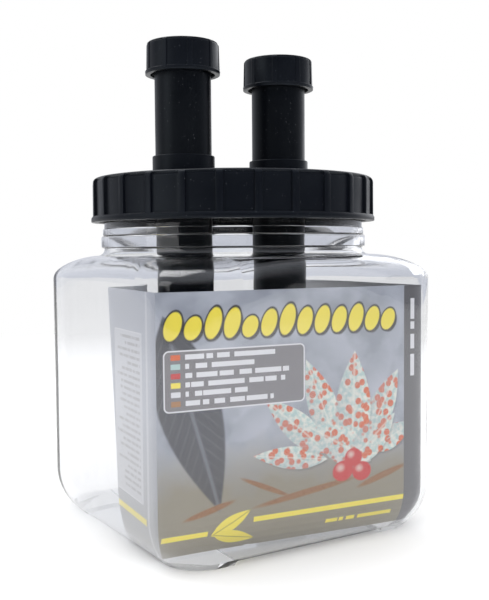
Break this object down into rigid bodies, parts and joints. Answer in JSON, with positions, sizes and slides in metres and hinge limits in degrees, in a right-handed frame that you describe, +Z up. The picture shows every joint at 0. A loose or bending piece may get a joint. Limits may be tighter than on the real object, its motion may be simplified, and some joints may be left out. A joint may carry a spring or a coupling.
{
  "type": "feeder insect keeper box",
  "caption": "Clear square jar with a wide ribbed black screw lid and lift-out black dispensing tubes, each closed by a ribbed screw cap.",
  "frame": {"origin": "on the jar's upright axis, in the plane of its feet", "axes": "+Z up along the jar's axis, -Y out of the front, where the label card stands, the two tubes on the X axis"},
  "size_m": [0.131, 0.131, 0.2079],
  "materials": {
    "clear_plastic": "clear, polished",
    "printed_card": "printed card, coated",
    "lid_plastic": "black, satin moulded",
    "tube_plastic": "black, smooth matt",
    "foam": "closed-cell sealing foam"
  },
  "bodies": {
    "jar": {"jar": "clear_plastic", "label": "printed_card"},
    "lid_seal": {"lid_liner": "foam"},
    "lid": {"lid": "lid_plastic", "left_collar": "lid_plastic", "right_collar": "lid_plastic"},
    "left_tube": {"left_tube": "tube_plastic"},
    "right_tube": {"right_tube": "tube_plastic"},
    "left_cap_seal": {"left_cap_liner": "foam"},
    "right_cap_seal": {"right_cap_liner": "foam"},
    "left_cap": {"left_cap": "lid_plastic"},
    "right_cap": {"right_cap": "lid_plastic"}
  },
  "joints": [
    {"name": "lid_rise", "type": "slide", "parent": "jar", "child": "lid_seal", "axis": [0, 0, 1], "range_m": [0, 0.024]},
    {"name": "lid_turn", "type": "hinge", "parent": "lid_seal", "child": "lid", "pos_m": [0, 0, 0.14], "axis": [0, 0, 1], "range_deg": [-1, 1441]},
    {"name": "left_tube_lift", "type": "slide", "parent": "lid", "child": "left_tube", "axis": [0, 0, 1], "range_m": [0, 0.16]},
    {"name": "left_cap_rise", "type": "slide", "parent": "left_tube", "child": "left_cap_seal", "axis": [0, 0, 1], "range_m": [-0.0023, 0.0097]},
    {"name": "left_cap_turn", "type": "hinge", "parent": "left_cap_seal", "child": "left_cap", "pos_m": [-0.02465, 0, 0.2], "axis": [0, 0, 1], "range_deg": [-277, 1165]},
    {"name": "right_tube_lift", "type": "slide", "parent": "lid", "child": "right_tube", "axis": [0, 0, 1], "range_m": [0, 0.16]},
    {"name": "right_cap_rise", "type": "slide", "parent": "right_tube", "child": "right_cap_seal", "axis": [0, 0, 1], "range_m": [0, 0.012]},
    {"name": "right_cap_turn", "type": "hinge", "parent": "right_cap_seal", "child": "right_cap", "pos_m": [0.02465, 0, 0.2], "axis": [0, 0, 1], "range_deg": [-1, 1441]}
  ],
  "couplings": [
    {"joint": "lid_turn", "follows": "lid_rise", "rad_per_m": 1047.2},
    {"joint": "left_cap_turn", "follows": "left_cap_rise", "rad_per_m": 2094.4},
    {"joint": "right_cap_turn", "follows": "right_cap_rise", "rad_per_m": 2094.4}
  ]
}
